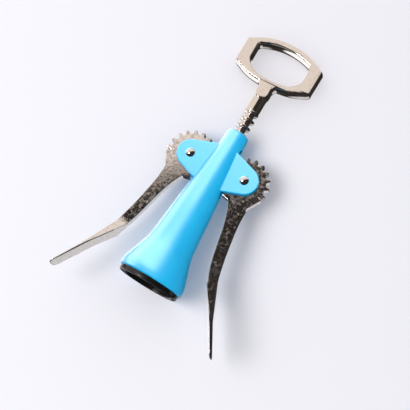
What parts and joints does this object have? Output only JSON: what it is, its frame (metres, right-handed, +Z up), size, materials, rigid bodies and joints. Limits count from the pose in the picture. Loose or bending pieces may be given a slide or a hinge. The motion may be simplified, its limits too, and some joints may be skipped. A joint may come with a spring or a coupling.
{
  "type": "wing corkscrew",
  "caption": "Wing corkscrew with a flared blue body, geared levers, a ringed rack on a loop handle and a worm that turns and slides.",
  "frame": {"origin": "on the table under the middle of the tool as it lies, at the middle of its bounding box's base", "axes": "+Z up from the table, +Y along the tool towards the handle, +X across the two levers"},
  "size_m": [0.1082, 0.1854, 0.0394],
  "materials": {
    "body": "glossy, cyan blue",
    "mouth_ring": "satin black",
    "rivet_left": "polished nickel",
    "rivet_right": "polished nickel",
    "lever_left": "nickel-plated casting",
    "lever_right": "nickel-plated casting",
    "guide_collar": "plain nylon",
    "handle_rack": "polished nickel plate",
    "worm": "plated steel wire"
  },
  "bodies": {
    "frame": {"body": "body", "mouth_ring": "mouth_ring", "rivet_left": "rivet_left", "rivet_right": "rivet_right"},
    "lever_left": {"lever_left": "lever_left"},
    "lever_right": {"lever_right": "lever_right"},
    "collar": {"guide_collar": "guide_collar"},
    "spindle": {"handle_rack": "handle_rack", "worm": "worm"}
  },
  "joints": [
    {"name": "lever_right_swing", "type": "hinge", "parent": "frame", "child": "lever_right", "pos_m": [0.01952, 0.00413, 0.01266], "axis": [0, 0.0954, 0.9954], "range_deg": [-10, 105]},
    {"name": "lever_left_swing", "type": "hinge", "parent": "frame", "child": "lever_left", "pos_m": [-0.01648, 0.00413, 0.01266], "axis": [0, -0.0954, -0.9954], "range_deg": [-10, 105]},
    {"name": "rack_slide", "type": "slide", "parent": "frame", "child": "collar", "axis": [0, 0.9954, -0.0954], "range_m": [-0.02594, 0.00256]},
    {"name": "handle_spin", "type": "hinge", "parent": "collar", "child": "spindle", "pos_m": [0.00152, -0.01268, 0.01427], "axis": [0, -0.9954, 0.0954], "continuous": true}
  ],
  "couplings": [
    {"joint": "lever_left_swing", "follows": "lever_right_swing", "ratio": 1},
    {"joint": "rack_slide", "follows": "lever_right_swing", "m_per_rad": -0.0141}
  ]
}
